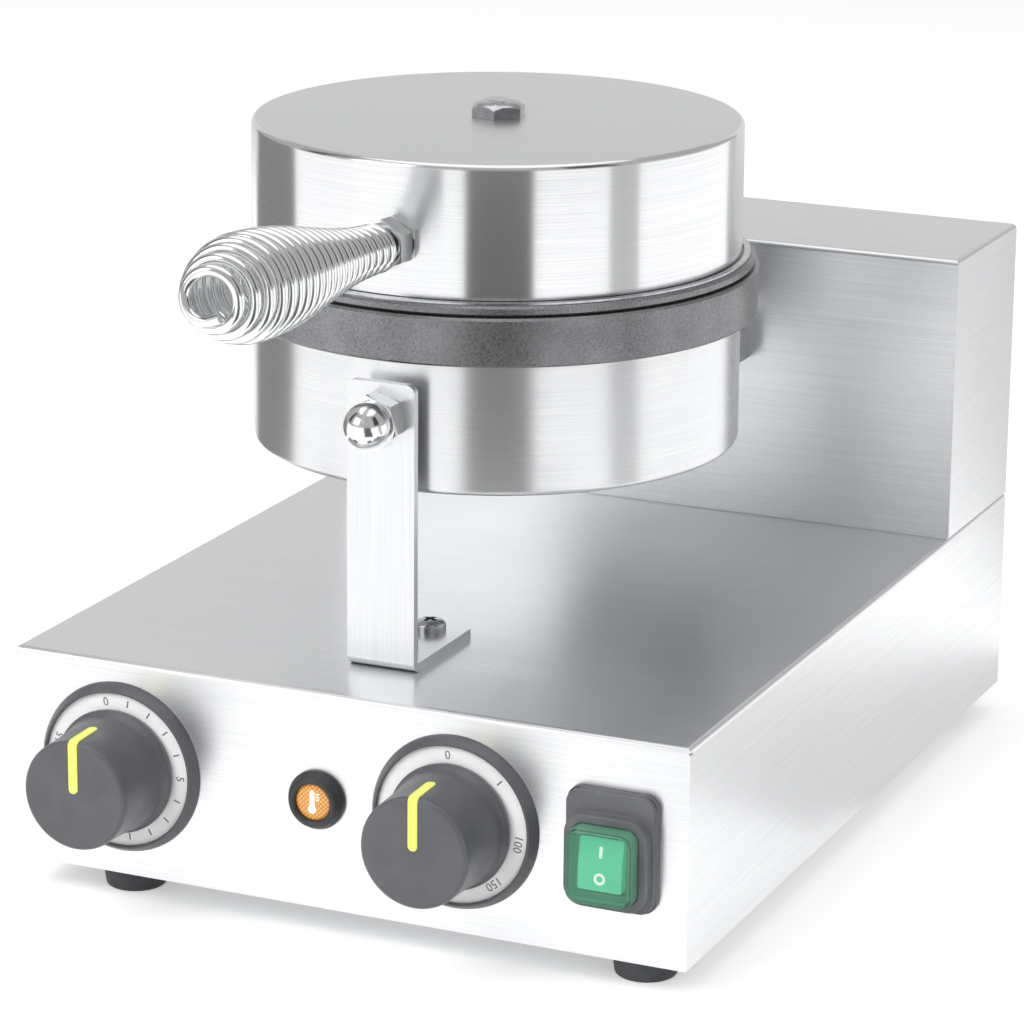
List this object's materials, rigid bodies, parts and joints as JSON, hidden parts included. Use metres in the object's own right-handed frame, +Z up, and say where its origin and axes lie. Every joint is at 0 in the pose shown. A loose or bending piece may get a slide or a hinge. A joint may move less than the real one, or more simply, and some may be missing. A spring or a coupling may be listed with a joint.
{
  "type": "belgian waffle maker",
  "caption": "Countertop waffle maker: stainless base with timer, thermostat and switch, round pan with a hinged lid, chrome coil handle and rear housing.",
  "frame": {"origin": "middle of the overall footprint, on the surface that the feet stand on", "axes": "+X to the right seen from the front, +Y back from the control panel to the rear housing, +Z up"},
  "size_m": [0.25, 0.443, 0.268],
  "materials": {
    "stainless_sheet": "folded stainless sheet with a fine brushed grain along its length",
    "stainless_can": "spun stainless sheet, brushed round the sides",
    "zinc_sheet": "zinc-coated steel sheet",
    "cast_plate": "cast iron with a dark non-stick coating",
    "bright_steel": "bright zinc-plated or stainless steel, turned or pressed",
    "chrome": "polished chrome plate",
    "heater_sheath": "heat-darkened steel heater tube",
    "copper": "drawn copper bulb",
    "scale": "satin aluminium ring with dark printed marks",
    "knob_plastic": "moulded dark grey plastic with a fine satin texture",
    "pointer": "pale lime-yellow moulded line",
    "rubber": "moulded black rubber",
    "black_nylon": "black moulded nylon",
    "amber_lens": "translucent amber plastic over a lit lamp",
    "green_cover": "clear green moulded cover",
    "green_rocker": "lit green plastic rocker",
    "bakelite": "moulded control casings"
  },
  "bodies": {
    "base": {"base_shell": "stainless_sheet", "rear_housing": "stainless_sheet", "back_cover": "stainless_sheet", "front_strip": "stainless_sheet", "lower_can": "stainless_can", "bottom_plate": "zinc_sheet", "hinge_bracket": "zinc_sheet", "lower_plate": "cast_plate", "pan_studs": "bright_steel", "stud_nuts": "bright_steel", "can_spacers": "bright_steel", "hinge_pin": "bright_steel", "pin_clips": "bright_steel", "wire_sleeve": "bright_steel", "lower_bolt": "bright_steel", "clamp_nuts_lower": "bright_steel", "lower_clamp": "bright_steel", "strip_screws": "bright_steel", "hinge_bolts": "bright_steel", "cover_screws": "bright_steel", "bottom_screws": "bright_steel", "foot_screws": "bright_steel", "control_nuts": "bright_steel", "conduit_elbow": "bright_steel", "conduit": "bright_steel", "cap_nut": "chrome", "lower_heater": "heater_sheath", "thermostat_bulb": "copper", "timer_scale": "scale", "thermostat_scale": "scale", "timer_dial": "knob_plastic", "thermostat_dial": "knob_plastic", "feet": "rubber", "switch_frame": "rubber", "cable_gland": "black_nylon", "gland_nut": "black_nylon", "switch_body": "black_nylon", "pilot_bezel": "black_nylon", "pilot_lens": "amber_lens", "switch_cover": "green_cover", "timer_body": "bakelite", "thermostat_body": "bakelite", "pilot_body": "bakelite"},
    "lid": {"upper_can": "stainless_can", "upper_plate": "cast_plate", "upper_heater": "heater_sheath", "upper_clamp": "bright_steel", "clamp_nut_upper": "bright_steel", "top_bolt": "bright_steel", "handle_nut": "chrome", "handle_stud": "bright_steel", "handle_coil": "chrome", "lid_gland": "bright_steel"},
    "timer_control": {"timer_knob": "knob_plastic", "timer_pointer": "pointer", "timer_shaft": "bright_steel"},
    "thermostat_control": {"thermostat_knob": "knob_plastic", "thermostat_pointer": "pointer", "thermostat_shaft": "bright_steel"},
    "rocker": {"switch_rocker": "green_rocker"}
  },
  "joints": [
    {"name": "lid_hinge", "type": "hinge", "parent": "base", "child": "lid", "pos_m": [0, 0.10534, 0.213], "axis": [-1, 0, 0], "range_deg": [0, 100], "deforming": ["conduit"]},
    {"name": "timer_turn", "type": "hinge", "parent": "base", "child": "timer_control", "pos_m": [-0.084, -0.12666, 0.05], "axis": [0, 1, 0], "range_deg": [0, 300]},
    {"name": "thermostat_turn", "type": "hinge", "parent": "base", "child": "thermostat_control", "pos_m": [0.042, -0.12666, 0.05], "axis": [0, 1, 0], "range_deg": [0, 285]},
    {"name": "rocker_tilt", "type": "hinge", "parent": "base", "child": "rocker", "pos_m": [0.099, -0.13066, 0.0472], "axis": [1, 0, 0], "range_deg": [0, 14]}
  ]
}
